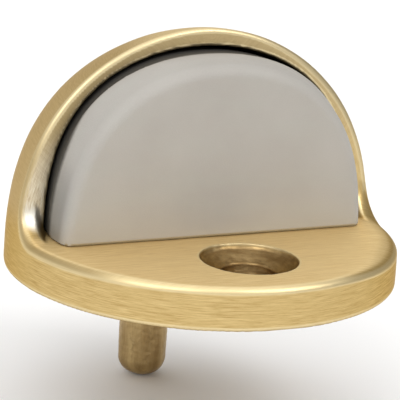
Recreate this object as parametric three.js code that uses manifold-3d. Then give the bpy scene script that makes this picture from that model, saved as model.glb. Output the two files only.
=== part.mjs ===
// Floor-mounted dome door stop. A brass casting (round base and open-fronted half-dome hood) holds a
// D-shaped rubber bumper, which a screw from beneath keeps in the hood. One countersunk hole takes the
// floor screw, and a round-ended pin under the base stops the casting from turning on that screw.
// Units are millimetres. +Z is up, the bumper faces -Y, and the origin is the centre of the flat
// underside, on the floor.
import * as THREE from 'three';
import { mergeVertices } from 'three/addons/utils/BufferGeometryUtils.js';
import Module from 'manifold-3d';

const wasm = await Module();
wasm.setup();

// ---- Driving dimensions -------------------------------------------------------------------------

// Casting
const BASE_RADIUS = 23.8;
const BASE_THICKNESS = 5.2;
const BASE_TOP_EDGE_RADIUS = 1.5;
const BASE_BOTTOM_CHAMFER = 0.4;
const DOME_HEIGHT = 29.3;
const DOME_FULLNESS = 2.7;
const DOME_TAPER = 1.85;
const HOOD_FRONT_Y = 1.0;
const HOOD_DRAFT_DEG = 3;
const HOOD_EDGE_RADIUS = 1.2;
const HOOD_FOOT_FILLET_RADIUS = 4.2;
const HOOD_SIDE_WALL = 3.5;
const HOOD_CROWN_WALL = 2.2;
const POCKET_FULLNESS = 3.5;
const POCKET_TAPER = 2;
const POCKET_FLOOR_RADIUS = 1.0;

// Hole for the floor screw
const FLOOR_SCREW_EDGE_DISTANCE = 10.7;
const FLOOR_SCREW_HOLE_RADIUS = 3.2;
const FLOOR_SCREW_RECESS_RADIUS = 5.85;
const FLOOR_SCREW_RECESS_WALL = 0.54;
const FLOOR_SCREW_RECESS_DRAFT = 0.15;
const FLOOR_SCREW_RECESS_DEPTH = 1.64;

// Bumper
const BUMPER_REACH = 5.5;
const BUMPER_SIDE_GAP = 0.3;
const BUMPER_CROWN_GAP = 0.8;
const BUMPER_BODY_GAP = 0.4;
const BUMPER_FLOOR_GAP = 0.3;
const BUMPER_FULLNESS = 2.8;
const BUMPER_TAPER = 2;
const BUMPER_FACE_EDGE_RADIUS = 1.2;
const BUMPER_CORNER_RADIUS = 1.4;

// Locating pin
const PIN_RADIUS = 3.05;
const PIN_LENGTH_BELOW_BASE = 19;
const PIN_END_RADIUS = 2.2;
const PIN_EDGE_DISTANCE = 8.8;
const PIN_SOCKET_ROOF = 1.7;

// Screw that holds the bumper
const SCREW_TO_PIN_DISTANCE = 9.4;
const SCREW_HEAD_RADIUS = 3.4;
const SCREW_HEAD_HEIGHT = 2.0;
const SCREW_HEAD_EDGE_RADIUS = 0.9;
const SCREW_HEAD_SETBACK = 0.4;
const SCREW_CORE_RADIUS = 1.4;
const SCREW_THREAD_RADIUS = 1.9;
const SCREW_THREAD_PITCH = 1.4;
const SCREW_THREAD_TURNS = 7;
const SCREW_PLAIN_SHANK = 1.2;
const SCREW_TIP_LENGTH = 2.0;
const SCREW_SLOT_WIDTH = 1.0;
const SCREW_SLOT_LENGTH = 3.8;
const SCREW_SLOT_DEPTH = 1.1;

// Room left between neighbouring pieces
const FIT_GAP = 0.3;

// How finely curved surfaces are divided
const DOME_SEGMENTS = 72;
const HOLE_SEGMENTS = 40;
const SCREW_SEGMENTS = 24;
const ARCH_STEPS = 14;
const EDGE_STEPS = 4;

// Cuts run this far past the material
const OVERRUN = 2;
// Solids that are joined or cut at the base's top reach this far under it, so no two faces coincide
const SKIN = 0.05;
// The hood's outline stands this far off the dome, so only its rounded front edge shows
const TRIM_CLEARANCE = 0.15;

// ---- Sizes that follow --------------------------------------------------------------------------

const dome = { side: BASE_RADIUS, crown: DOME_HEIGHT, fullness: DOME_FULLNESS, taper: DOME_TAPER };
const pocket = {
  side: BASE_RADIUS - HOOD_SIDE_WALL,
  crown: DOME_HEIGHT - HOOD_CROWN_WALL,
  fullness: POCKET_FULLNESS,
  taper: POCKET_TAPER,
};
const bumperFace = {
  side: pocket.side - BUMPER_SIDE_GAP,
  crown: pocket.crown - BUMPER_CROWN_GAP,
  fullness: BUMPER_FULLNESS,
  taper: BUMPER_TAPER,
};
const bumperBody = {
  side: pocket.side - BUMPER_BODY_GAP,
  crown: pocket.crown - BUMPER_BODY_GAP,
  fullness: POCKET_FULLNESS,
  taper: POCKET_TAPER,
};

const bumperFloorZ = BASE_THICKNESS + BUMPER_FLOOR_GAP;
const bumperFrontY = HOOD_FRONT_Y - BUMPER_REACH;
const floorScrewY = FLOOR_SCREW_EDGE_DISTANCE - BASE_RADIUS;
const pinY = BASE_RADIUS - PIN_EDGE_DISTANCE;
const pinSocketTopZ = BASE_THICKNESS - PIN_SOCKET_ROOF;
const screwY = pinY - SCREW_TO_PIN_DISTANCE;
const screwSeatZ = SCREW_HEAD_SETBACK + SCREW_HEAD_HEIGHT;
const screwThreadLength = SCREW_THREAD_TURNS * SCREW_THREAD_PITCH;
const screwTipZ = screwSeatZ + SCREW_PLAIN_SHANK + screwThreadLength + SCREW_TIP_LENGTH;
const screwHoleRadius = SCREW_THREAD_RADIUS + FIT_GAP;

// ---- Solids -------------------------------------------------------------------------------------

/** Turns a closed three.js geometry into a solid that can be joined and cut. */
function toSolid(geometry) {
  const bare = geometry.clone();
  bare.deleteAttribute('normal');
  bare.deleteAttribute('uv');
  const merged = mergeVertices(bare);
  const corners = merged.index.array;
  const triangles = [];
  for (let i = 0; i < corners.length; i += 3) {
    const [a, b, c] = corners.slice(i, i + 3);
    const hasArea = a !== b && b !== c && c !== a;
    if (hasArea) triangles.push(a, b, c);
  }
  const mesh = new wasm.Mesh({
    numProp: 3,
    vertProperties: merged.attributes.position.array,
    triVerts: new Uint32Array(triangles),
  });
  return new wasm.Manifold(mesh);
}

/** Turns a finished solid back into a named mesh with its own material. */
function toMesh(name, solid, material) {
  const { vertProperties, triVerts } = solid.getMesh();
  const geometry = new THREE.BufferGeometry();
  geometry.setAttribute('position', new THREE.BufferAttribute(vertProperties, 3));
  geometry.setIndex(new THREE.BufferAttribute(triVerts, 1));
  geometry.computeVertexNormals();
  const mesh = new THREE.Mesh(geometry, new THREE.MeshStandardMaterial(material));
  mesh.name = name;
  return mesh;
}

/** Spins a profile of [radius, height] points about the vertical line through (0, y). */
function turned(profile, segments, y = 0) {
  const points = profile.map(([radius, height]) => new THREE.Vector2(radius, height));
  const geometry = new THREE.LatheGeometry(points, segments);
  geometry.rotateX(Math.PI / 2);
  geometry.translate(0, y, 0);
  return toSolid(geometry);
}

/** A box between two opposite corners. */
function block(low, high) {
  const size = high.map((value, axis) => value - low[axis]);
  const middle = high.map((value, axis) => (value + low[axis]) / 2);
  return toSolid(new THREE.BoxGeometry(...size).translate(...middle));
}

/** Points of a circular arc in a profile, from one angle to another, both ends included. */
function arc(centreRadius, centreHeight, radius, fromDeg, toDeg) {
  const points = [];
  for (let i = 0; i <= EDGE_STEPS; i += 1) {
    const angle = THREE.MathUtils.degToRad(THREE.MathUtils.lerp(fromDeg, toDeg, i / EDGE_STEPS));
    points.push([centreRadius + radius * Math.cos(angle), centreHeight + radius * Math.sin(angle)]);
  }
  return points;
}

/**
 * One side of a squared arch that is `side` wide at the floor and closes at `crown`, from startZ up.
 * It is the curve (x / side)^taper + (z / crown)^fullness = 1.
 */
function archProfile({ side, crown, fullness, taper }, startZ) {
  const startAngle = Math.asin((startZ / crown) ** (fullness / 2));
  const points = [];
  for (let i = 0; i < ARCH_STEPS; i += 1) {
    const angle = THREE.MathUtils.lerp(startAngle, Math.PI / 2, i / ARCH_STEPS);
    points.push([side * Math.cos(angle) ** (2 / taper), crown * Math.sin(angle) ** (2 / fullness)]);
  }
  points.push([0, crown]);
  return points;
}

/** The outline of a whole arch that stands on floorZ, with rounded lower corners. */
function archShape(arch, floorZ, cornerRadius) {
  const wall = archProfile(arch, floorZ + cornerRadius);
  const corner = arc(wall[0][0] - cornerRadius, floorZ + cornerRadius, cornerRadius, -90, 0);
  const right = [...corner, ...wall.slice(1)];
  const left = right.slice(0, -1).reverse();
  const points = [...right, ...left.map(([x, z]) => [-x, z])];
  return new THREE.Shape(points.map(([x, z]) => new THREE.Vector2(x, z)));
}

/** Extrudes an upright outline from frontY to backY, with its front and back edges rounded. */
function loaf(shape, frontY, backY, edgeRadius) {
  const geometry = new THREE.ExtrudeGeometry(shape, {
    depth: backY - frontY - 2 * edgeRadius,
    curveSegments: EDGE_STEPS,
    bevelEnabled: true,
    bevelThickness: edgeRadius,
    bevelSize: edgeRadius,
    bevelOffset: -edgeRadius,
    bevelSegments: EDGE_STEPS,
  });
  geometry.rotateX(Math.PI / 2);
  geometry.translate(0, backY - edgeRadius, 0);
  return geometry;
}

// ---- Casting ------------------------------------------------------------------------------------

/** The dome that the hood and the base are both cut from. */
function domeSolid() {
  return turned(
    [
      [0, 0],
      [BASE_RADIUS - BASE_BOTTOM_CHAMFER, 0],
      [BASE_RADIUS, BASE_BOTTOM_CHAMFER],
      ...archProfile(dome, BASE_THICKNESS),
    ],
    DOME_SEGMENTS,
  );
}

/** The space that the base may fill: a disc wider than the dome, with the base's rounded top edge. */
function baseSpace() {
  const shoulderRadius = BASE_RADIUS - BASE_TOP_EDGE_RADIUS;
  const shoulderZ = BASE_THICKNESS - BASE_TOP_EDGE_RADIUS;
  return turned(
    [
      [0, -OVERRUN],
      [BASE_RADIUS + OVERRUN, -OVERRUN],
      [BASE_RADIUS + OVERRUN, shoulderZ],
      ...arc(shoulderRadius, shoulderZ, BASE_TOP_EDGE_RADIUS, 0, 90),
      [0, BASE_THICKNESS],
    ],
    DOME_SEGMENTS,
  );
}

/** The space that the hood may fill: everything behind its leaning front, whose edge is rounded. */
function hoodSpace() {
  const outer = { ...dome, side: dome.side + TRIM_CLEARANCE, crown: dome.crown + TRIM_CLEARANCE };
  const outline = archShape(outer, 0, 2 * HOOD_EDGE_RADIUS);
  const geometry = loaf(outline, 0, 2 * BASE_RADIUS, HOOD_EDGE_RADIUS);
  geometry.translate(0, 0, -BASE_THICKNESS);
  geometry.rotateX(-THREE.MathUtils.degToRad(HOOD_DRAFT_DEG));
  geometry.translate(0, HOOD_FRONT_Y, BASE_THICKNESS);
  return toSolid(geometry);
}

/**
 * The concave fillets in front of the hood's two feet, tangent to its leaning front and to the base.
 * They end where the base's top edge starts to round.
 */
function footFillets() {
  const radius = HOOD_FOOT_FILLET_RADIUS;
  const lean = THREE.MathUtils.degToRad(HOOD_DRAFT_DEG);
  const centreZ = BASE_THICKNESS + radius;
  const centreY = HOOD_FRONT_Y + radius * Math.tan(lean) - radius / Math.cos(lean);
  const topZ = centreZ - radius * Math.sin(lean);
  const topY = centreY + radius * Math.cos(lean);
  const foot = block(
    [pocket.side, centreY, BASE_THICKNESS - SKIN],
    [BASE_RADIUS - BASE_TOP_EDGE_RADIUS, topY + HOOD_EDGE_RADIUS, topZ],
  );
  const bar = new THREE.CylinderGeometry(radius, radius, 4 * BASE_RADIUS, DOME_SEGMENTS);
  bar.rotateZ(Math.PI / 2);
  bar.translate(0, centreY, centreZ);
  return foot.add(foot.mirror([1, 0, 0])).subtract(toSolid(bar));
}

/** The hollow in the hood, rounded where its wall meets the floor. */
function pocketSpace() {
  const floorZ = BASE_THICKNESS - SKIN;
  const filletZ = floorZ + POCKET_FLOOR_RADIUS;
  const wall = archProfile(pocket, filletZ);
  return turned(
    [
      [0, floorZ],
      ...arc(wall[0][0] - POCKET_FLOOR_RADIUS, filletZ, POCKET_FLOOR_RADIUS, -90, 0),
      ...wall.slice(1),
    ],
    DOME_SEGMENTS,
  );
}

/** The floor screw's hole: a steep-sided recess, a dished seat for the head, and the through hole. */
function floorScrewHole() {
  const seatEdgeZ = BASE_THICKNESS - FLOOR_SCREW_RECESS_WALL;
  const seatInnerZ = BASE_THICKNESS - FLOOR_SCREW_RECESS_DEPTH;
  return turned(
    [
      [0, -OVERRUN],
      [FLOOR_SCREW_HOLE_RADIUS, -OVERRUN],
      [FLOOR_SCREW_HOLE_RADIUS, seatInnerZ],
      [FLOOR_SCREW_RECESS_RADIUS - FLOOR_SCREW_RECESS_DRAFT, seatEdgeZ],
      [FLOOR_SCREW_RECESS_RADIUS, BASE_THICKNESS],
      [FLOOR_SCREW_RECESS_RADIUS, BASE_THICKNESS + OVERRUN],
      [0, BASE_THICKNESS + OVERRUN],
    ],
    HOLE_SEGMENTS,
    floorScrewY,
  );
}

/** A plain round hole between two heights. */
function roundHole(radius, lowZ, highZ, y) {
  return turned([[0, lowZ], [radius, lowZ], [radius, highZ], [0, highZ]], HOLE_SEGMENTS, y);
}

function housing() {
  const pinSocket = roundHole(PIN_RADIUS + FIT_GAP, -OVERRUN, pinSocketTopZ, pinY);
  const headRecess = roundHole(SCREW_HEAD_RADIUS + FIT_GAP, -OVERRUN, screwSeatZ + FIT_GAP, screwY);
  const screwHole = roundHole(screwHoleRadius, -OVERRUN, BASE_THICKNESS + OVERRUN, screwY);
  return hoodSpace()
    .subtract(pocketSpace())
    .add(footFillets())
    .add(baseSpace())
    .intersect(domeSolid())
    .subtract(floorScrewHole())
    .subtract(pinSocket)
    .subtract(headRecess)
    .subtract(screwHole);
}

// ---- Bumper -------------------------------------------------------------------------------------

/** The space that the bumper may fill: inside the hood the pocket's shape, ahead of the hood anything. */
function bumperSpace() {
  const wall = archProfile(bumperBody, bumperFloorZ + BUMPER_CORNER_RADIUS);
  const cornerRadius = wall[0][0] - BUMPER_CORNER_RADIUS;
  const cornerZ = bumperFloorZ + BUMPER_CORNER_RADIUS;
  const body = turned(
    [
      [0, bumperFloorZ],
      ...arc(cornerRadius, cornerZ, BUMPER_CORNER_RADIUS, -90, 0),
      ...wall.slice(1),
    ],
    DOME_SEGMENTS,
  );
  const ahead = block(
    [-BASE_RADIUS, bumperFrontY - OVERRUN, bumperFloorZ],
    [BASE_RADIUS, BUMPER_BODY_GAP, DOME_HEIGHT],
  );
  return body.add(ahead);
}

/** The bumper. Only the edges of its face round off: the outline runs on below its flat bottom. */
function bumper() {
  const outlineFloorZ = bumperFloorZ - 3 * BUMPER_FACE_EDGE_RADIUS;
  const outline = archShape(bumperFace, outlineFloorZ, 2 * BUMPER_FACE_EDGE_RADIUS);
  const blank = toSolid(loaf(outline, bumperFrontY, BASE_RADIUS, BUMPER_FACE_EDGE_RADIUS));
  const pilotTopZ = screwTipZ + FIT_GAP;
  const pilotHole = roundHole(screwHoleRadius, bumperFloorZ - OVERRUN, pilotTopZ, screwY);
  return blank.intersect(bumperSpace()).subtract(pilotHole);
}

// ---- Pin and screw ------------------------------------------------------------------------------

function locatingPin() {
  const topZ = pinSocketTopZ - FIT_GAP;
  const endFlat = PIN_RADIUS - PIN_END_RADIUS;
  const endZ = PIN_END_RADIUS - PIN_LENGTH_BELOW_BASE;
  return turned(
    [
      [0, -PIN_LENGTH_BELOW_BASE],
      ...arc(endFlat, endZ, PIN_END_RADIUS, -90, 0),
      [PIN_RADIUS, topZ],
      [0, topZ],
    ],
    HOLE_SEGMENTS,
    pinY,
  );
}

/** Profile of the screw's thread: one ridge a turn. */
function threadProfile(startZ) {
  const points = [];
  for (let turn = 0; turn < SCREW_THREAD_TURNS; turn += 1) {
    const z = startZ + turn * SCREW_THREAD_PITCH;
    points.push([SCREW_CORE_RADIUS, z]);
    points.push([SCREW_THREAD_RADIUS, z + SCREW_THREAD_PITCH / 2]);
  }
  points.push([SCREW_CORE_RADIUS, startZ + screwThreadLength]);
  return points;
}

function bumperScrew() {
  const edgeCentre = SCREW_HEAD_RADIUS - SCREW_HEAD_EDGE_RADIUS;
  const body = turned(
    [
      [0, SCREW_HEAD_SETBACK],
      ...arc(
        edgeCentre,
        SCREW_HEAD_SETBACK + SCREW_HEAD_EDGE_RADIUS,
        SCREW_HEAD_EDGE_RADIUS,
        -90,
        0,
      ),
      [SCREW_HEAD_RADIUS, screwSeatZ],
      [SCREW_CORE_RADIUS, screwSeatZ],
      ...threadProfile(screwSeatZ + SCREW_PLAIN_SHANK),
      [0, screwTipZ],
    ],
    SCREW_SEGMENTS,
    screwY,
  );
  const long = SCREW_SLOT_LENGTH / 2;
  const wide = SCREW_SLOT_WIDTH / 2;
  const slotTop = SCREW_HEAD_SETBACK + SCREW_SLOT_DEPTH;
  const across = block([-long, screwY - wide, -OVERRUN], [long, screwY + wide, slotTop]);
  const along = block([-wide, screwY - long, -OVERRUN], [wide, screwY + long, slotTop]);
  return body.subtract(across.add(along));
}

// ---- Assembly -----------------------------------------------------------------------------------

const SATIN_BRASS = { color: 0xc9b58a, roughness: 0.35, metalness: 1 };
const CAST_BRASS = { color: 0x8c6a44, roughness: 0.6, metalness: 1 };
const GREY_RUBBER = { color: 0xaaa49c, roughness: 0.85, metalness: 0 };
const ZINC_STEEL = { color: 0xb4b6ba, roughness: 0.4, metalness: 1 };

const doorStop = new THREE.Group();
doorStop.add(toMesh('housing', housing(), SATIN_BRASS));
doorStop.add(toMesh('bumper', bumper(), GREY_RUBBER));
doorStop.add(toMesh('locating_pin', locatingPin(), CAST_BRASS));
doorStop.add(toMesh('bumper_screw', bumperScrew(), ZINC_STEEL));

export default doorStop;
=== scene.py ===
"""Floor-mounted dome door stop: brass casting, rubber bumper, locating pin and bumper screw.

Shapes are worked out in millimetres as distance fields, meshed on a grid, and scaled to metres.
+Z is up, the bumper faces -Y, and the origin is the centre of the flat underside.
"""
import math

import bpy
import numpy as np
from mathutils import Matrix, Vector


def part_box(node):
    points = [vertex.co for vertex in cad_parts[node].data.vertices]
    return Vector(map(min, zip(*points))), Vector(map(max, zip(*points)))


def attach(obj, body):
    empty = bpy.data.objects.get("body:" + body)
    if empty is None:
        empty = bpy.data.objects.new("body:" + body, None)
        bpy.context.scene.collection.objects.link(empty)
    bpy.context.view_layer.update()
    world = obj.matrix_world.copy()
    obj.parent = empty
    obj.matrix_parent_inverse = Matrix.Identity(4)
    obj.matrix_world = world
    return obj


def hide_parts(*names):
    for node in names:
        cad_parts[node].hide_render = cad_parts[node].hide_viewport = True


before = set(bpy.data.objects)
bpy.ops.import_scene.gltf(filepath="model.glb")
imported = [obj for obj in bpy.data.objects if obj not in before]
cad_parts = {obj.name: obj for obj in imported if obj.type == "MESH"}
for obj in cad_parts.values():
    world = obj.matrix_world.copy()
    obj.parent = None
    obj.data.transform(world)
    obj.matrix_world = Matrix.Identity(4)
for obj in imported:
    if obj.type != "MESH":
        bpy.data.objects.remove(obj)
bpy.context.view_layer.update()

MM = 0.001
SEED = 218

# ---- Sizes in millimetres -------------------------------------------------------------------------


def box_mm(node):
    """A CAD node's lowest and highest corners in millimetres."""
    low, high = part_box(node)
    return np.array(low) / MM, np.array(high) / MM


housing_low, housing_high = box_mm("housing")
bumper_low, bumper_high = box_mm("bumper")
pin_low, pin_high = box_mm("locating_pin")
screw_low, screw_high = box_mm("bumper_screw")

BASE_RADIUS = housing_high[0]
BASE_TOP = 5.2
UNDERSIDE_EDGE_RADIUS = 0.4
DOME_HEIGHT = 29.3
DOME_TAPER = 1.85
DOME_FULLNESS = 2.7

HOOD_FRONT = 1.0
HOOD_LEAN = math.radians(3)
POCKET_SIDE = 20.3
POCKET_CROWN = 27.1
POCKET_TAPER = 2
POCKET_FULLNESS = 3.5
OPENING_EDGE_RADIUS = 0.28
POCKET_FILLET = 1.0
FOOT_FILLET = 4.2

SCREW_HOLE_Y = -13.1
SCREW_HOLE_RADIUS = 3.2
RECESS_SEAT_DEPTH = 1.64
RECESS_SEAT_SLOPE = 0.44
RECESS_FOOT_RADIUS = 5.70
RECESS_WALL_HEIGHT = 0.54
RECESS_WALL_FLARE = 0.28
RECESS_LIP_RADIUS = 0.09

PIN_Y = (pin_low[1] + pin_high[1]) / 2
PIN_RADIUS = pin_high[0]
PIN_END_RADIUS = 2.3
SOCKET_GAP = 0.12

SCREW_Y = (screw_low[1] + screw_high[1]) / 2
SCREW_HEAD_RADIUS = screw_high[0]
SCREW_HEAD_HEIGHT = 2.0
SCREW_CORE_RADIUS = 1.4
THREAD_DEPTH = 0.5
THREAD_PITCH = 1.4
SCREW_BORE_RADIUS = 2.2
SCREW_GAP = 0.3

BUMPER_SIDE = 19.85
BUMPER_CROWN = 26.15
BUMPER_SHIFT = -0.15
BUMPER_FACE_RADIUS = 1.5
BUMPER_GAP = 0.4

# ---- Distance fields ------------------------------------------------------------------------------


def cut(a, b, radius):
    """Where both solids are, with the edge between their surfaces rounded."""
    corner = np.hypot(np.maximum(a + radius, 0), np.maximum(b + radius, 0))
    return np.minimum(np.maximum(a, b), -radius) + corner


def join(a, b, radius):
    """Either solid, with a fillet between their surfaces."""
    corner = np.hypot(np.maximum(radius - a, 0), np.maximum(radius - b, 0))
    return np.maximum(np.minimum(a, b), radius) - corner


def cut_oval(a, b, width, height):
    """Where both solids are, with an oval rounding that reaches width along b and height along a."""
    u = np.maximum(a / width + 1, 0)
    v = np.maximum(b / height + 1, 0)
    corner = np.minimum(np.maximum(a / width, b / height), -1) + np.hypot(u, v)
    blend = u * u + v * v + 1e-9
    return corner * (width * u * u + height * v * v + 1e-9 * np.minimum(width, height)) / blend


def ramp(value, start, end):
    """0 before start, 1 after end, and a smooth step between."""
    t = np.clip((value - start) / (end - start), 0, 1)
    return t * t * (3 - 2 * t)


def arch(across, height, side, crown, taper, fullness):
    """Distance to the curve (across / side)^taper + (height / crown)^fullness = 1."""
    u = np.abs(across) / side
    v = np.maximum(height, 0) / crown
    slope = np.hypot(taper / side * u ** (taper - 1), fullness / crown * v ** (fullness - 1))
    return (u**taper + v**fullness - 1) / np.maximum(slope, 1e-3)


def ripple(x, y, z, wavelength, seed):
    """A gentle random unevenness, mostly between -1 and 1."""
    draw = np.random.default_rng(seed)
    total = 0
    waves = 10
    for _ in range(waves):
        direction = draw.normal(size=3)
        direction *= draw.uniform(0.6, 1.5) * 2 * math.pi / wavelength / np.linalg.norm(direction)
        phase = draw.uniform(0, 2 * math.pi)
        total = total + np.sin(direction[0] * x + direction[1] * y + direction[2] * z + phase)
    return total / math.sqrt(waves)


def pocket_field(x, y, z, inset=0.0):
    """The hood's inside."""
    across = np.hypot(x, y)
    return arch(across, z, POCKET_SIDE - inset, POCKET_CROWN - inset, POCKET_TAPER, POCKET_FULLNESS)


def dome_field(x, y, z):
    """The outer dome, whose foot is the base's wall."""
    return arch(np.hypot(x, y), z, BASE_RADIUS, DOME_HEIGHT, DOME_TAPER, DOME_FULLNESS)


def opened_field(x, y, z):
    """Everything under the base's top or in the hood's wall, with the fillets between them."""
    front = (HOOD_FRONT - y) * math.cos(HOOD_LEAN) + (z - BASE_TOP) * math.sin(HOOD_LEAN)
    pocket = pocket_field(x, y, z)
    hood = cut(front, -pocket, OPENING_EDGE_RADIUS)
    at_foot = ramp(pocket, -0.2, 1.4)
    fillet = POCKET_FILLET + (FOOT_FILLET - POCKET_FILLET) * at_foot
    return join(hood, z - BASE_TOP, fillet)


def edge_size(x, y, z):
    """Width and height of the outer edge's rounding, widest on the base near the right foot."""
    around = np.arctan2(x, -y)
    right = ramp(around, math.radians(15), math.radians(55))
    left = ramp(-around, math.radians(25), math.radians(70))
    base_width = 0.95 + 2.7 * right + 0.25 * left
    base_height = 0.80 + 0.6 * right + 0.25 * left
    rim = 0.55 + 0.5 * ramp(x, 4, 17)
    up = ramp(z, BASE_TOP - 0.5, BASE_TOP + 3.6)
    return base_width + (rim - base_width) * up, base_height + (rim - base_height) * up


def drilled_field(x, y, z):
    """The floor screw's recess and hole."""
    across = np.hypot(x, y - SCREW_HOLE_Y)
    seat_height = BASE_TOP - RECESS_SEAT_DEPTH + (across - SCREW_HOLE_RADIUS) * RECESS_SEAT_SLOPE
    seat = (seat_height - z) / math.hypot(1, RECESS_SEAT_SLOPE)
    above_foot = z - (BASE_TOP - RECESS_WALL_HEIGHT)
    wall = across - RECESS_FOOT_RADIUS - RECESS_WALL_FLARE * above_foot
    return join(cut(wall, seat, 0.2), across - SCREW_HOLE_RADIUS, 0.2)


def sockets_field(x, y, z):
    """The pin's socket and the bumper screw's recess and hole, from beneath."""
    from_pin = np.hypot(x, y - PIN_Y)
    socket = np.maximum(from_pin - (PIN_RADIUS + SOCKET_GAP), z - pin_high[2] - 0.3)
    from_screw = np.hypot(x, y - SCREW_Y)
    head = np.maximum(from_screw - (SCREW_HEAD_RADIUS + SCREW_GAP), z - 2.7)
    hole = np.maximum(from_screw - SCREW_BORE_RADIUS, z - BASE_TOP - 1)
    return np.minimum(socket, np.minimum(head, hole))


def cast_skin(x, y, z, drilled):
    """1 where the casting keeps its rough cast skin, 0 where it was brushed."""
    recess = ramp(-drilled, -0.5, -0.1) * 0.35
    pocket = ramp(-pocket_field(x, y, z), -0.6, 0.3) * ramp(y, 1.0, 2.5)
    underside = ramp(-z, -0.8, -0.1) * ramp(-np.hypot(x, y), -22.8, -21.6)
    return np.maximum(np.maximum(recess, pocket), underside)


def casting_field(x, y, z):
    """The brass casting: base, hood, screw recess, and the sockets beneath."""
    width, height = edge_size(x, y, z)
    body = cut_oval(dome_field(x, y, z), opened_field(x, y, z), width, height)
    body = cut(body, -z, UNDERSIDE_EDGE_RADIUS)
    drilled = drilled_field(x, y, z)
    body = cut(body, -drilled, RECESS_LIP_RADIUS)
    body = cut(body, -sockets_field(x, y, z), 0.15)
    wavy = 0.010 * ripple(x, y, z, 7.0, SEED)
    pitted = 0.030 * ripple(x, y, z, 1.3, SEED + 1)
    return body + wavy + cast_skin(x, y, z, drilled) * pitted


def bumper_field(x, y, z):
    """The rubber bumper: a D-shaped block whose back follows the hood's inside, bored for its screw."""
    spread = ramp(y, -4.0, 0.4)
    side = BUMPER_SIDE + 0.15 * spread
    crown = BUMPER_CROWN + 0.4 * spread
    outline = arch(x - BUMPER_SHIFT, z, side, crown, 2.1 + 0.1 * spread, 3.0 + 0.4 * spread)
    front = cut(outline, bumper_low[1] - y, BUMPER_FACE_RADIUS)
    outside_the_hood = y < 0.4
    back = np.where(outside_the_hood, -5.0, pocket_field(x, y, z, BUMPER_GAP))
    body = cut(front, back, 0.3)
    body = cut(body, BASE_TOP + 0.06 - z, 0.12)
    bore = np.maximum(np.hypot(x, y - SCREW_Y) - SCREW_BORE_RADIUS, z - screw_high[2] - SCREW_GAP)
    return cut(body, -bore, 0.1)


def pin_field(x, y, z):
    """The locating pin: a cast peg with a rounded end and a slightly uneven skin."""
    across = np.hypot(x, y - PIN_Y)
    body = cut(across - PIN_RADIUS, pin_low[2] - z, PIN_END_RADIUS)
    body = cut(body, z - pin_high[2], 0.2)
    uneven = 0.030 * ripple(x, y, 0.3 * z, 2.6, SEED + 2)
    return body + uneven + 0.010 * ripple(x, y, z, 0.9, SEED + 3)


def screw_field(x, y, z):
    """The pan-head screw from beneath: cross recess, head, shank and helical thread."""
    dy = y - SCREW_Y
    across = np.hypot(x, dy)
    low, high = screw_low[2], screw_high[2]
    seat = low + SCREW_HEAD_HEIGHT
    head = cut(across - SCREW_HEAD_RADIUS, np.maximum(low - z, z - seat), 0.5)
    arm_reach, arm_half_width, recess_depth = 1.9, 0.5, 1.1
    arm_x = np.maximum(np.abs(x) - arm_reach, np.abs(dy) - arm_half_width)
    arm_y = np.maximum(np.abs(dy) - arm_reach, np.abs(x) - arm_half_width)
    cross = np.maximum(np.minimum(arm_x, arm_y), z - (low + recess_depth))
    head = cut(head, -cross, 0.12)
    turn = z / THREAD_PITCH - np.arctan2(dy, x) / (2 * math.pi)
    ridge = 1 - np.abs(2 * (turn - np.floor(turn)) - 1)
    starts = ramp(z, seat + 0.8, seat + 1.6)
    thread = np.maximum(0, ridge * 1.6 - 0.6) * THREAD_DEPTH * starts
    taper = np.minimum(1, (high - z) / 2.0)
    shank = across - (SCREW_CORE_RADIUS + thread) * taper
    shank = np.maximum(shank * 0.8, np.maximum(seat - 0.3 - z, z - high + 0.05))
    return np.minimum(head, shank)


# ---- Meshing --------------------------------------------------------------------------------------

EDGES_OF_A_CELL = [
    (a, tuple(a[i] | (i == axis) for i in range(3)))
    for axis in range(3)
    for a in np.ndindex(2, 2, 2)
    if a[axis] == 0
]


def grid_axis(low, high, cell, fine=None, fine_cell=None):
    """Grid positions from low to high, with a finer stretch between the two fine limits."""
    stops = [(low - cell, high + cell, cell)]
    if fine:
        a, b = fine
        stops = [(low - cell, a, cell), (a, b, fine_cell), (b, high + cell, cell)]
    points = [np.linspace(a, b, max(2, math.ceil((b - a) / step) + 1)) for a, b, step in stops]
    return np.unique(np.round(np.concatenate(points), 6))


def plain_axes(low, high, cell):
    """An even grid over a box."""
    return [grid_axis(low[i], high[i], cell) for i in range(3)]


def slope_of(field, points, step=0.01):
    """The field's gradient at each point."""
    parts = []
    for axis in range(3):
        offset = np.zeros(3)
        offset[axis] = step
        ahead = field(*(points + offset).T)
        behind = field(*(points - offset).T)
        parts.append((ahead - behind) / (2 * step))
    return np.stack(parts, axis=1)


def cell_points(value, inside, axes):
    """One point in each cell that the surface crosses, and each cell's point number."""
    size = [n - 1 for n in value.shape]
    count = sum(
        inside[i : i + size[0], j : j + size[1], k : k + size[2]].astype(np.int8)
        for i, j, k in np.ndindex(2, 2, 2)
    )
    cells = np.argwhere((count > 0) & (count < 8))
    number = np.full(size, -1, dtype=np.int64)
    number[tuple(cells.T)] = np.arange(len(cells))
    total = np.zeros((len(cells), 3))
    crossings = np.zeros(len(cells))
    for a, b in EDGES_OF_A_CELL:
        near, far = tuple((cells + a).T), tuple((cells + b).T)
        crosses = inside[near] != inside[far]
        va, vb = value[near], value[far]
        t = np.where(crosses, va / np.where(crosses, va - vb, 1), 0)
        pa = np.stack([axes[d][near[d]] for d in range(3)], axis=1)
        pb = np.stack([axes[d][far[d]] for d in range(3)], axis=1)
        total += np.where(crosses[:, None], pa + t[:, None] * (pb - pa), 0)
        crossings += crosses
    return total / crossings[:, None], number


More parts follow.
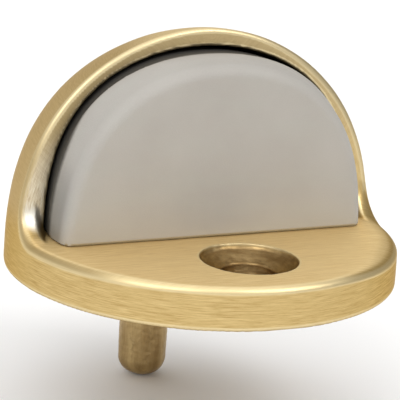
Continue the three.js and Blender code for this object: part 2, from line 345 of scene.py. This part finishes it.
def cell_faces(inside, number):
    """Four-sided faces between the cells round each grid edge that the surface crosses."""
    faces = []
    for axis in range(3):
        u, v = (axis + 1) % 3, (axis + 2) % 3
        here = [slice(None)] * 3
        there = [slice(None)] * 3
        here[axis], there[axis] = slice(0, -1), slice(1, None)
        at = np.argwhere(inside[tuple(here)] != inside[tuple(there)])
        at = at[(at[:, u] > 0) & (at[:, v] > 0)]
        corners = []
        for du, dv in ((0, 0), (-1, 0), (-1, -1), (0, -1)):
            step = np.zeros(3, dtype=int)
            step[u], step[v] = du, dv
            corners.append(number[tuple((at + step).T)])
        quad = np.stack(corners, axis=1)
        outward = inside[tuple(at.T)]
        quad[~outward] = quad[~outward][:, ::-1]
        faces.append(quad)
    return np.concatenate(faces)


def skin(field, axes):
    """Points and faces on the zero surface of a distance field."""
    ys, zs = np.meshgrid(axes[1], axes[2], indexing="ij")
    value = np.stack([field(np.full_like(ys, x), ys, zs) for x in axes[0]])
    inside = value < 0
    points, number = cell_points(value, inside, axes)
    longest_move = 0.1
    for _ in range(4):
        slope = slope_of(field, points)
        length = np.maximum((slope**2).sum(axis=1), 0.05)
        move = (field(*points.T) / length)[:, None] * slope
        points = points - np.clip(move, -longest_move, longest_move)
    return points, cell_faces(inside, number)


def curvature_of(field, points, reach=0.35):
    """How sharply the surface bends at each point: above zero on an edge, below zero in a crease."""
    total = -6 * field(*points.T)
    for axis in range(3):
        for side in (-reach, reach):
            offset = np.zeros(3)
            offset[axis] = side
            total = total + field(*(points + offset).T)
    return total / reach**2


def mark(piece, name, values):
    """Stores one number per point for the material to read."""
    layer = piece.data.attributes.new(name, "FLOAT", "POINT")
    layer.data.foreach_set("value", values.astype(np.float32))


def make_piece(name, field, axes, node, material):
    """Meshes a field as a smooth-shaded object that stands for a CAD node."""
    points, faces = skin(field, axes)
    normals = slope_of(field, points)
    normals /= np.linalg.norm(normals, axis=1, keepdims=True)
    mesh = bpy.data.meshes.new(name)
    mesh.from_pydata((points * MM).tolist(), [], faces.tolist())
    mesh.shade_smooth()
    mesh.normals_split_custom_set_from_vertices(normals.tolist())
    mesh.materials.append(material)
    piece = bpy.data.objects.new(name, mesh)
    bpy.context.scene.collection.objects.link(piece)
    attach(piece, "root")
    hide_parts(node)
    mark(piece, "bend", np.clip(curvature_of(field, points), -2, 2))
    return piece, points


# ---- Materials ------------------------------------------------------------------------------------

BRASS_DARK = (0.455, 0.305, 0.108)
BRASS_LIGHT = (0.71, 0.535, 0.25)
BRASS_CLOUD = (0.62, 0.45, 0.19)
# Lighter copies of the brass for the flat top: painted light from overhead.
BRASS_LIT_TOP_DARK = (0.74, 0.545, 0.25)
BRASS_LIT_TOP_LIGHT = (1.0, 0.82, 0.48)
BRASS_LIT_TOP_CLOUD = (0.90, 0.70, 0.37)
BRASS_DOME = (0.60, 0.50, 0.33)
# Painted shade for the rim's crown, and a painted highlight for its lower left.
BRASS_RIM_CROWN_SHADE = (0.34, 0.25, 0.11)
BRASS_RIM_LOW_LEFT_HIGHLIGHT = (1.0, 0.95, 0.80)
# Lighter convex edges, for polish wear and as painted highlight; painted shade in creases.
BRASS_EDGE_WEAR_AND_HIGHLIGHT = (0.88, 0.75, 0.46)
BRASS_CREASE_SHADE = (0.45, 0.33, 0.15)
# Painted shade on the lower left edge, and a painted highlight on the left foot.
BRASS_LEFT_EDGE_SHADE = (0.34, 0.235, 0.095)
BRASS_FOOT_HIGHLIGHT = (1.0, 0.97, 0.88)
BRASS_GRAZING = (0.62, 0.50, 0.34, 1)
BROWN_DARK = (0.23, 0.145, 0.058)
BROWN_LIGHT = (0.44, 0.305, 0.14)
BROWN_SPECK = (0.17, 0.10, 0.04)
HOOD_SHADE = (0.035, 0.025, 0.012)

PIN_DARK = (0.30, 0.195, 0.080)
PIN_LIGHT = (0.52, 0.38, 0.18)
PIN_SPECK = (0.20, 0.12, 0.05)

RUBBER_DARK = (0.372, 0.348, 0.316)
RUBBER_LIGHT = (0.402, 0.379, 0.345)
RUBBER_SMEAR = (0.39, 0.385, 0.345)
RUBBER_GRAIN = (0.27, 0.25, 0.225)
RUBBER_SHADE = (0.022, 0.020, 0.017)

ZINC_DARK = (0.48, 0.49, 0.50)
ZINC_LIGHT = (0.66, 0.68, 0.70)


class Graph:
    """A material's node tree, with short calls for the nodes used here."""

    def __init__(self, name):
        self.material = bpy.data.materials.new(name)
        self.material.use_nodes = True
        self.tree = self.material.node_tree
        self.shader = self.tree.nodes["Principled BSDF"]

    def add(self, kind, inputs=None, **settings):
        node = self.tree.nodes.new("ShaderNode" + kind)
        for key, value in settings.items():
            setattr(node, key, value)
        for key, value in (inputs or {}).items():
            self.put(node.inputs[key], value)
        return node

    def put(self, socket, value):
        if isinstance(value, bpy.types.NodeSocket):
            self.tree.links.new(value, socket)
        else:
            socket.default_value = value

    def math(self, operation, *values):
        return self.add("Math", dict(enumerate(values)), operation=operation).outputs[0]

    def times(self, a, b):
        return self.math("MULTIPLY", a, b)

    def over(self, a, b):
        return self.math("DIVIDE", a, b)

    def minus(self, a, b):
        return self.math("SUBTRACT", a, b)

    def length(self, a, b, least):
        """The length of the vector (a, b), and never under least."""
        squares = self.math("ADD", self.times(a, a), self.times(b, b))
        return self.math("MAXIMUM", self.math("SQRT", squares), least)

    def vector(self, x, y, z):
        return self.add("CombineXYZ", {0: x, 1: y, 2: z}).outputs[0]

    def scaled(self, vector, scale):
        node = self.add("VectorMath", {0: vector, 1: scale}, operation="MULTIPLY")
        return node.outputs[0]

    def noise(self, vector, scale=1.0, detail=3.0, roughness=0.6):
        inputs = {"Vector": vector, "Scale": scale, "Detail": detail, "Roughness": roughness}
        return self.add("TexNoise", inputs).outputs[0]

    def map(self, value, low, high, to_low=0.0, to_high=1.0, smooth=False):
        inputs = {0: value, 1: low, 2: high, 3: to_low, 4: to_high}
        kind = "SMOOTHSTEP" if smooth else "LINEAR"
        return self.add("MapRange", inputs, interpolation_type=kind).outputs[0]

    def mix(self, factor, a, b):
        node = self.add("Mix", {0: factor, 2: a, 3: b}, data_type="FLOAT")
        return node.outputs[0]

    def tint(self, factor, a, b):
        node = self.add("Mix", data_type="RGBA")
        self.put(node.inputs[0], factor)
        self.put(node.inputs[6], a if isinstance(a, bpy.types.NodeSocket) else (*a, 1))
        self.put(node.inputs[7], b if isinstance(b, bpy.types.NodeSocket) else (*b, 1))
        return node.outputs[2]

    def read(self, name):
        return self.add("Attribute", attribute_name=name).outputs["Fac"]

    def place(self):
        """The point's place in millimetres, whole and as x, y and z."""
        coordinates = self.add("TexCoord").outputs["Object"]
        place = self.scaled(coordinates, (1 / MM,) * 3)
        return place, self.add("SeparateXYZ", {0: place}).outputs

    def normal(self):
        """The surface's direction as x, y and z."""
        return self.add("SeparateXYZ", {0: self.add("NewGeometry").outputs["Normal"]}).outputs

    def bump(self, height, distance_mm, strength=1.0, normal=None):
        inputs = {"Height": height, "Distance": distance_mm * MM, "Strength": strength}
        if normal:
            inputs["Normal"] = normal
        return self.add("Bump", inputs).outputs[0]

    def finish(self, **sockets):
        for key, value in sockets.items():
            self.put(self.shader.inputs[key.replace("_", " ")], value)
        return self.material


def brushed_grain(g, place, xyz, normal):
    """Brush lines: across the base's flat top, round its wall and the hood, and along the rim."""
    x, y, z = xyz
    radius = g.length(x, y, 1.0)
    rise = g.minus(z, 4.0)
    arc = g.length(x, rise, 1.0)
    along, across = 0.30, 9.0
    over_top = g.scaled(place, (along, across, along))
    turn, step = 8.0, 8.5
    round_wall = g.vector(
        g.times(g.over(x, radius), turn),
        g.times(g.over(y, radius), turn),
        g.times(g.minus(z, radius), step),
    )
    rim_turn, rim_step = 15.0, 8.0
    along_rim = g.vector(
        g.times(g.over(x, arc), rim_turn),
        g.times(arc, rim_step),
        g.times(g.over(rise, arc), rim_turn),
    )
    lines = [g.noise(v, detail=5, roughness=0.72) for v in (over_top, round_wall, along_rim)]
    facing = g.times(normal[1], -1.0)
    is_rim = g.times(g.map(facing, 0.55, 0.85, smooth=True), g.map(z, 5.6, 7.5, smooth=True))
    low_wall = g.times(g.map(z, 7.0, 5.0, smooth=True), g.map(normal[2], 0.9, 0.5, smooth=True))
    is_wall = g.math("MAXIMUM", low_wall, g.map(y, 0.9, 2.2, smooth=True))
    return g.mix(is_wall, g.mix(is_rim, lines[0], lines[2]), lines[1])


def turned_rings(g, place, xyz):
    """Fine rings round the floor screw's hole, and a plain speckle away from it."""
    x, y, z = xyz
    dy = g.minus(y, SCREW_HOLE_Y)
    across = g.length(x, dy, 0.5)
    turn, step = 1.3, 1.9
    spot = g.vector(
        g.times(g.over(x, across), turn),
        g.times(g.over(dy, across), turn),
        g.times(g.minus(across, z), step),
    )
    rings = g.noise(spot, detail=4, roughness=0.6)
    speckle = g.noise(place, scale=0.9, detail=4, roughness=0.6)
    return g.mix(g.map(across, 6.4, 6.0), speckle, rings)


def rim_painted_light(g, brass, grain, xyz, normal):
    """The rim: painted shade at its crown, and a nearly white painted highlight at the lower left."""
    x, _, z = xyz
    on_rim = g.times(g.map(normal[1], -0.75, -0.93, smooth=True), g.map(z, 6.0, 8.0))
    low_left = g.times(g.map(z, 19.0, 9.0, smooth=True), g.map(x, -8.0, -16.0))
    crown = g.times(on_rim, g.map(z, 14.0, 24.0, 0.0, 0.45))
    brass = g.tint(crown, brass, BRASS_RIM_CROWN_SHADE)
    low_left_glint = g.times(low_left, g.map(grain, 0.35, 0.6, 0.3, 0.95))
    return g.tint(g.times(on_rim, low_left_glint), brass, BRASS_RIM_LOW_LEFT_HIGHLIGHT)


def brushed_brass_color(g, place, xyz, normal, grain, flat):
    """The brushed brass: streaks, clouds, the dome's greyer tone, painted light and shade on the flat
    top, rim, creases, lower left edge and left foot, and edges lighter from polish wear and as painted
    highlight.
    """
    _, y, z = xyz
    bend = g.read("bend")
    cloud = g.noise(place, scale=0.11, detail=3)
    # On the flat top the brass is a lighter copy: painted light from overhead.
    dark = g.tint(flat, BRASS_DARK, BRASS_LIT_TOP_DARK)
    light = g.tint(flat, BRASS_LIGHT, BRASS_LIT_TOP_LIGHT)
    brass = g.tint(g.map(grain, 0.34, 0.66), dark, light)
    clouded = g.tint(flat, BRASS_CLOUD, BRASS_LIT_TOP_CLOUD)
    brass = g.tint(g.map(cloud, 0.35, 0.7, 0.0, 0.35), brass, clouded)
    on_dome = g.times(g.map(z, 5.0, 9.0, smooth=True), g.map(y, 1.0, 2.0))
    brass = g.tint(g.times(on_dome, 0.5), brass, BRASS_DOME)
    brass = rim_painted_light(g, brass, grain, xyz, normal)
    # Convex edges lighter for polish wear and as painted highlight; creases darker as painted shade.
    brass = g.tint(g.map(bend, 0.25, 1.0, 0.0, 0.55, smooth=True), brass, BRASS_EDGE_WEAR_AND_HIGHLIGHT)
    brass = g.tint(g.map(bend, -0.15, -0.8, 0.0, 0.35, smooth=True), brass, BRASS_CREASE_SHADE)
    brass = g.tint(g.times(g.read("painted_left_edge_shade"), 0.6), brass, BRASS_LEFT_EDGE_SHADE)
    return g.tint(g.read("painted_foot_highlight"), brass, BRASS_FOOT_HIGHLIGHT)


def satin_brass():
    """Brushed brass outside, brown cast brass in the recess, in the hood and beneath, and painted shade
    deep in the hood.
    """
    g = Graph("satin_brass")
    place, xyz = g.place()
    normal = g.normal()
    grain = brushed_grain(g, place, xyz, normal)
    flat = g.times(g.map(normal[2], 0.86, 0.985, smooth=True), g.map(xyz[2], 4.4, 4.9))
    brass = brushed_brass_color(g, place, xyz, normal, grain, flat)
    speck = g.noise(place, scale=1.6, detail=4, roughness=0.65)
    rings = turned_rings(g, place, xyz)
    brown = g.tint(g.map(rings, 0.35, 0.65), BROWN_DARK, BROWN_LIGHT)
    brown = g.tint(g.map(speck, 0.5, 0.75, 0.0, 0.5), brown, BROWN_SPECK)
    cast = g.read("as_cast")
    color = g.tint(g.read("shade"), g.tint(cast, brass, brown), HOOD_SHADE)
    wall_rough = g.map(grain, 0.34, 0.66, 0.50, 0.34)
    top_rough = g.map(grain, 0.34, 0.66, 0.66, 0.52)
    cast_rough = g.map(rings, 0.3, 0.7, 0.48, 0.30)
    rough = g.mix(cast, g.mix(flat, wall_rough, top_rough), cast_rough)
    marks = g.math("ADD", g.times(speck, 0.5), rings)
    relief = g.bump(g.times(marks, cast), 0.05, normal=g.bump(grain, 0.007))
    return g.finish(
        Base_Color=color, Metallic=1.0, Roughness=rough, Specular_Tint=BRASS_GRAZING, Normal=relief
    )


def cast_brass():
    """Dull brown brass for the pin, drawn lengthwise and pitted."""
    g = Graph("cast_brass")
    place, _ = g.place()
    speck = g.noise(place, scale=1.1, detail=5, roughness=0.65)
    pits = g.noise(place, scale=3.2, detail=3)
    drawn = g.noise(g.scaled(place, (1.0, 1.0, 0.16)), scale=0.8, detail=4)
    color = g.tint(g.map(drawn, 0.3, 0.7), PIN_DARK, PIN_LIGHT)
    color = g.tint(g.map(speck, 0.55, 0.8, 0.0, 0.6), color, PIN_SPECK)
    rough = g.map(pits, 0.3, 0.7, 0.46, 0.30)
    normal = g.bump(pits, 0.015, normal=g.bump(speck, 0.05))
    return g.finish(Base_Color=color, Metallic=1.0, Roughness=rough, Normal=normal)


def grey_rubber():
    """Matt warm grey rubber with faint clouds, smears and a fine grain."""
    g = Graph("grey_rubber")
    place, _ = g.place()
    cloud = g.noise(place, scale=0.12, detail=3, roughness=0.5)
    smear = g.noise(g.scaled(place, (0.08, 0.5, 0.35)), detail=3)
    grain = g.noise(place, scale=6.0, detail=3, roughness=0.7)
    color = g.tint(g.map(cloud, 0.3, 0.7), RUBBER_DARK, RUBBER_LIGHT)
    color = g.tint(g.map(smear, 0.45, 0.75, 0.0, 0.5), color, RUBBER_SMEAR)
    color = g.tint(g.map(grain, 0.35, 0.65, 0.0, 0.14), color, RUBBER_GRAIN)
    color = g.tint(g.read("shade"), color, RUBBER_SHADE)
    rough = g.map(cloud, 0.3, 0.7, 0.62, 0.5)
    return g.finish(Base_Color=color, Roughness=rough, Normal=g.bump(grain, 0.02))


def zinc_steel():
    """Bright, slightly cloudy zinc plating."""
    g = Graph("zinc_steel")
    place, _ = g.place()
    cloud = g.noise(place, scale=0.9, detail=4)
    fine = g.noise(place, scale=7.0, detail=2)
    color = g.tint(g.map(cloud, 0.3, 0.7), ZINC_DARK, ZINC_LIGHT)
    rough = g.map(cloud, 0.3, 0.7, 0.42, 0.25)
    return g.finish(Base_Color=color, Metallic=1.0, Roughness=rough, Normal=g.bump(fine, 0.01))


# ---- The model ------------------------------------------------------------------------------------


def make_casting():
    """The casting, with a finer grid round the floor screw's recess."""
    coarse, fine, fine_upright = 0.3, 0.15, 0.12
    reach = 6.3
    near_hole = (SCREW_HOLE_Y - reach, SCREW_HOLE_Y + reach)
    axes = [
        grid_axis(housing_low[0], housing_high[0], coarse, (-reach, reach), fine),
        grid_axis(housing_low[1], housing_high[1], coarse, near_hole, fine),
        grid_axis(housing_low[2], housing_high[2], coarse, (3.2, 5.5), fine_upright),
    ]
    casting, spots = make_piece(
        "casting", casting_field, axes, "housing", satin_brass()
    )
    x, y, z = spots.T
    in_pocket = ramp(-pocket_field(x, y, z), -0.4, 0.2) * ramp(y, HOOD_FRONT + 0.3, HOOD_FRONT + 2)
    in_recess = ramp(-np.hypot(x, y - SCREW_HOLE_Y), -5.95, -5.65)
    beneath = ramp(-z, -0.35, -0.05)
    mark(casting, "as_cast", np.maximum(np.maximum(in_pocket * 0.8, in_recess), beneath * 0.6))
    mark(casting, "shade", in_pocket * ramp(z, 3.0, 4.6))

    # A nearly white painted highlight on the left foot's fillet.
    foot_x, foot_y, foot_z = -21.7, 0.6, 7.3
    from_foot = np.sqrt((x - foot_x) ** 2 + (0.5 * (y - foot_y)) ** 2 + (z - foot_z) ** 2)
    mark(casting, "painted_foot_highlight", ramp(-from_foot, -1.7, -0.5))

    # A painted shade line along the lower left edge of the base.
    from_edge = np.abs(dome_field(x, y, z) - opened_field(x, y, z))
    on_left = ramp(-x, 11, 17) * ramp(-z, -19, -13) * ramp(z, 3.8, 4.8) * ramp(y, -16.5, -12)
    mark(casting, "painted_left_edge_shade", ramp(-from_edge, -0.8, -0.2) * on_left)


def make_bumper():
    """The rubber, with painted shade where it enters the hood and on its lower left side."""
    axes = plain_axes(bumper_low, bumper_high, 0.35)
    bumper, spots = make_piece(
        "rubber_bumper", bumper_field, axes, "bumper", grey_rubber()
    )
    x, y, z = spots.T
    left_side = 0.45 * ramp(-x, 18.0, 19.3) * ramp(y, -4.3, -2.6) * ramp(-z, -18, -8)
    shade_starts = 0.05 - 1.0 * ramp(-x, 15, 19.3)
    mark(bumper, "shade", np.maximum(0.94 * ramp(y - shade_starts, 0, 0.7), left_side))


def make_pin():
    axes = plain_axes(pin_low, pin_high, 0.22)
    make_piece("pin", pin_field, axes, "locating_pin", cast_brass())


def make_screw():
    axes = plain_axes(screw_low, screw_high, 0.14)
    make_piece("pan_screw", screw_field, axes, "bumper_screw", zinc_steel())


# ---- Camera and studio ----------------------------------------------------------------------------


def make_camera():
    """A camera at the photograph's viewing angle."""
    azimuth, elevation, roll = (math.radians(v) for v in (-26.01, 16.39, 4.03))
    distance = 306.3 * MM
    target = Vector((0, 0, 10 * MM))
    back = Vector(
        (
            math.sin(azimuth) * math.cos(elevation),
            -math.cos(azimuth) * math.cos(elevation),
            math.sin(elevation),
        )
    )
    level = Vector((math.cos(azimuth), math.sin(azimuth), 0))
    rise = back.cross(level)
    right = math.cos(roll) * level + math.sin(roll) * rise
    up = math.cos(roll) * rise - math.sin(roll) * level
    aim = target - right * (0.582 * MM) - up * (1.475 * MM)
    data = bpy.data.cameras.new("camera")
    data.lens = 228.7
    data.sensor_width = 36
    camera = bpy.data.objects.new("camera", data)
    pose = Matrix((right, up, back)).transposed().to_4x4()
    pose.translation = aim + back * distance
    camera.matrix_world = pose
    bpy.context.scene.collection.objects.link(camera)
    bpy.context.scene.camera = camera


def make_light(name, position, size, power):
    """A soft square light at a place in metres, aimed at the stop."""
    data = bpy.data.lights.new(name, "AREA")
    data.shape = "SQUARE"
    data.size = size
    data.energy = power
    light = bpy.data.objects.new(name, data)
    place = Vector(position)
    aimed = place.to_track_quat("Z", "Y").to_matrix().to_4x4()
    light.matrix_world = Matrix.Translation(place) @ aimed
    bpy.context.scene.collection.objects.link(light)


def make_floor():
    """A wide pale floor just under the pin's tip."""
    reach = 2.0
    level = (pin_low[2] - 0.15) * MM
    corners = [(x * reach, y * reach, level) for x, y in ((-1, -1), (1, -1), (1, 1), (-1, 1))]
    mesh = bpy.data.meshes.new("floor")
    mesh.from_pydata(corners, [], [(0, 1, 2, 3)])
    g = Graph("floor_paint")
    place, _ = g.place()
    tone = g.noise(place, scale=0.02, detail=2)
    color = g.tint(tone, (0.90, 0.90, 0.90), (0.92, 0.92, 0.92))
    mesh.materials.append(g.finish(Base_Color=color, Roughness=0.9))
    floor = bpy.data.objects.new("floor", mesh)
    bpy.context.scene.collection.objects.link(floor)


def make_world():
    """A bright room: brightest overhead, dimmer between there and the horizon, and dimmer at +X."""
    world = bpy.data.worlds.new("studio")
    world.use_nodes = True
    bpy.context.scene.world = world
    tree = world.node_tree
    direction = tree.nodes.new("ShaderNodeTexCoord")
    parts = tree.nodes.new("ShaderNodeSeparateXYZ")
    tone_by_height = tree.nodes.new("ShaderNodeValToRGB")
    tree.links.new(direction.outputs["Generated"], parts.inputs[0])
    tree.links.new(parts.outputs[2], tone_by_height.inputs[0])
    stops = tone_by_height.color_ramp.elements
    stops[0].position, stops[0].color = 0.10, (0.72, 0.72, 0.72, 1)
    stops[1].position, stops[1].color = 0.90, (1.0, 1.0, 1.0, 1)
    for position, tone in ((0.38, 0.60), (0.62, 0.55)):
        stops.new(position).color = (tone, tone, tone, 1)
    strength = tree.nodes.new("ShaderNodeMapRange")
    strength.interpolation_type = "SMOOTHSTEP"
    starts, ends, bright, dim = 0.30, 0.85, 1.33, 0.55
    for socket, value in enumerate((starts, ends, bright, dim), start=1):
        strength.inputs[socket].default_value = value
    tree.links.new(parts.outputs[0], strength.inputs[0])
    background = tree.nodes["Background"]
    tree.links.new(tone_by_height.outputs[0], background.inputs[0])
    tree.links.new(strength.outputs[0], background.inputs[1])
    bpy.context.scene.view_settings.view_transform = "Standard"


# ---- Build ----------------------------------------------------------------------------------------

make_camera()
make_casting()
make_bumper()
make_pin()
make_screw()
make_floor()
make_world()
make_light("key", (0.45, -0.55, 0.75), 0.5, 3.0)
make_light("fill", (-0.55, -0.45, 0.70), 0.55, 2.3)
